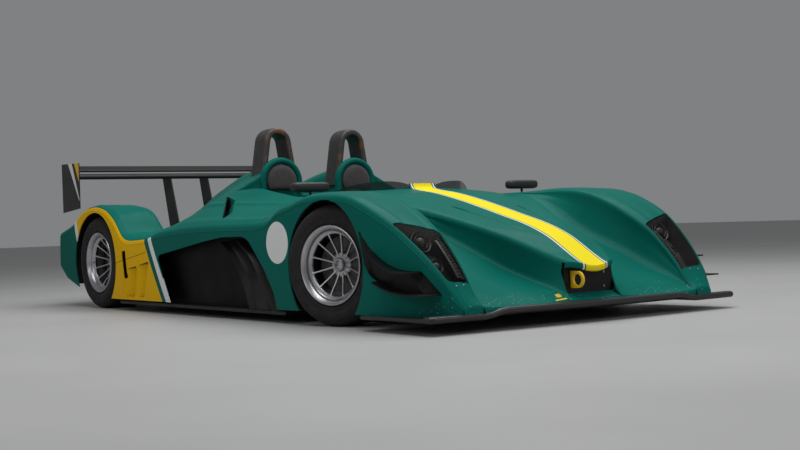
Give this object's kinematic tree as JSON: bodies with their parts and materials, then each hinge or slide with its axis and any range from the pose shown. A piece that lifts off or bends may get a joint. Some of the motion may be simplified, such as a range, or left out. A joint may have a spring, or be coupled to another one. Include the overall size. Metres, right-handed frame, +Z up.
{
  "type": "open-cockpit sports prototype race car",
  "caption": "Open-cockpit sports racing car with roll hoops, covered wheels, splitter and rear wing; wheels roll and the front pair steers.",
  "frame": {"origin": "on the ground under the middle of the whole car's box", "axes": "+X forward, +Y to the car's left, +Z up"},
  "size_m": [4.132, 1.844, 1.019],
  "materials": {
    "paint_green": "gloss clear-coated racing green with wear at the front edge",
    "lens_clear": "clear moulded lamp cover",
    "lamp_dark": "dark lamp housing with bright reflectors",
    "carbon_black": "satin carbon-look composite",
    "black_satin": "satin black",
    "tow_yellow": "semi-gloss yellow",
    "pad_dark": "dark padded cover",
    "interior_black": "matt black",
    "screen_smoke": "smoked clear plastic",
    "metal_grey": "cast and machined grey metal",
    "steel_dark": "dark steel tube",
    "rim_silver": "satin silver alloy",
    "disc_steel": "machined iron",
    "tyre_black": "black slick tyre rubber"
  },
  "bodies": {
    "car": {"front_body": "paint_green", "lamp_bays": "lamp_dark", "lamp_lenses": "lens_clear", "nose_panel": "black_satin", "tow_eye": "tow_yellow", "canards": "carbon_black", "splitter": "carbon_black", "floor_tray": "carbon_black", "tub": "interior_black", "side_pod_left": "paint_green", "side_pod_right": "paint_green", "side_panels": "carbon_black", "side_vanes": "carbon_black", "engine_cover": "paint_green", "rear_wing_left": "paint_green", "rear_wing_right": "paint_green", "tail_panel": "carbon_black", "hoops": "black_satin", "headrests": "pad_dark", "wing_main": "carbon_black", "wing_flap": "carbon_black", "endplates": "carbon_black", "wing_pylons": "carbon_black", "seat": "interior_black", "dash": "interior_black", "steering_wheel": "interior_black", "windscreen": "screen_smoke", "mirrors": "interior_black", "engine": "metal_grey", "gearbox": "metal_grey", "front_suspension": "steel_dark", "rear_suspension": "steel_dark"},
    "wheel_front_left": {"rim_front_left": "rim_silver", "tyre_front_left": "tyre_black", "disc_front_left": "disc_steel"},
    "wheel_front_right": {"rim_front_right": "rim_silver", "tyre_front_right": "tyre_black", "disc_front_right": "disc_steel"},
    "wheel_rear_left": {"rim_rear_left": "rim_silver", "tyre_rear_left": "tyre_black", "disc_rear_left": "disc_steel"},
    "wheel_rear_right": {"rim_rear_right": "rim_silver", "tyre_rear_right": "tyre_black", "disc_rear_right": "disc_steel"},
    "steer_left": {"upright_front_left": "metal_grey"},
    "steer_right": {"upright_front_right": "metal_grey"}
  },
  "joints": [
    {"name": "steer_right", "type": "hinge", "parent": "car", "child": "steer_right", "pos_m": [1.18, -0.731, 0.278], "axis": [0, 0, 1], "range_deg": [-32.35, 3.65]},
    {"name": "steer_left", "type": "hinge", "parent": "car", "child": "steer_left", "pos_m": [1.18, 0.731, 0.278], "axis": [0, 0, 1], "range_deg": [-32.35, 3.65]},
    {"name": "spin_front_right", "type": "hinge", "parent": "steer_right", "child": "wheel_front_right", "pos_m": [1.18, -0.731, 0.278], "axis": [-0.2478, 0.9688, 0], "continuous": true},
    {"name": "spin_front_left", "type": "hinge", "parent": "steer_left", "child": "wheel_front_left", "pos_m": [1.18, 0.731, 0.278], "axis": [-0.2478, 0.9688, 0], "continuous": true},
    {"name": "spin_rear_right", "type": "hinge", "parent": "car", "child": "wheel_rear_right", "pos_m": [-1.358, -0.865, 0.278], "axis": [0, 1, 0], "continuous": true},
    {"name": "spin_rear_left", "type": "hinge", "parent": "car", "child": "wheel_rear_left", "pos_m": [-1.358, 0.865, 0.278], "axis": [0, 1, 0], "continuous": true}
  ],
  "couplings": [
    {"joint": "steer_left", "follows": "steer_right", "ratio": 1}
  ]
}
